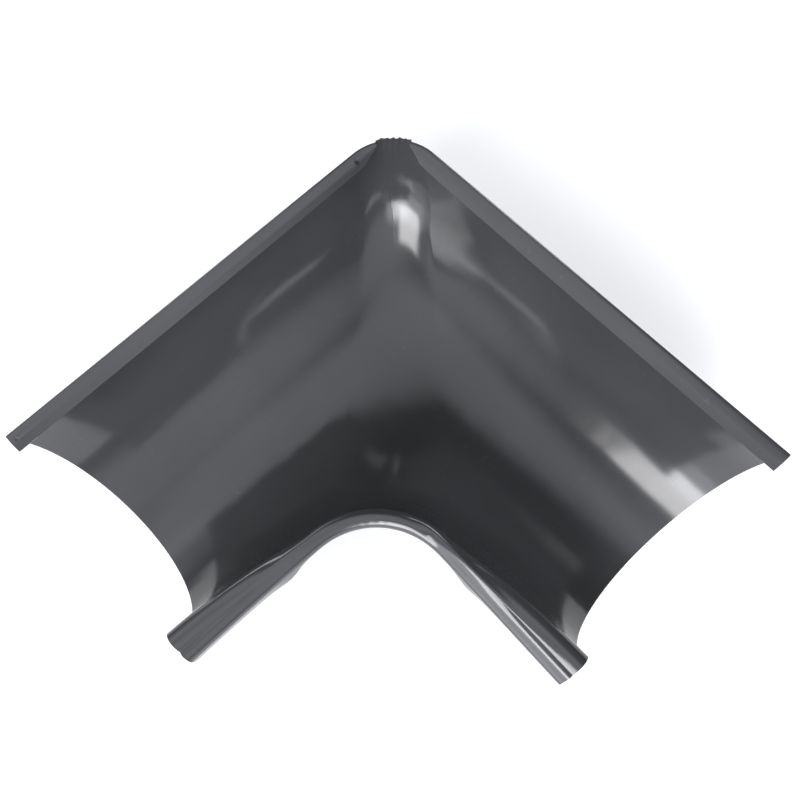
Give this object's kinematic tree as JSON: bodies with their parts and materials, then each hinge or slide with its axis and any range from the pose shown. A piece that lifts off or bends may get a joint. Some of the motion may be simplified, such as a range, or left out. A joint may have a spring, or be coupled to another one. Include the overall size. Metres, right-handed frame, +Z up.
{
  "type": "half-round gutter angle",
  "caption": "One-piece pressed steel angle that turns a half-round gutter through 90 degrees, with a folded back lip outside the bend and a rolled bead inside it.",
  "frame": {"origin": "centre of the bounding box in X and Y, on the plane that touches the outside of the trough's bottom", "axes": "+Z up out of the open trough; wing A runs towards -X with its back wall towards +Y, wing B runs towards -Y with its back wall towards +X, so the square corner of the bend is at +X +Y"},
  "size_m": [0.254, 0.254, 0.0817],
  "materials": {
    "graphite_paint": "glossy graphite grey coating on steel sheet, both faces"
  },
  "bodies": {
    "root": {"gutter_angle": "graphite_paint"}
  },
  "joints": []
}
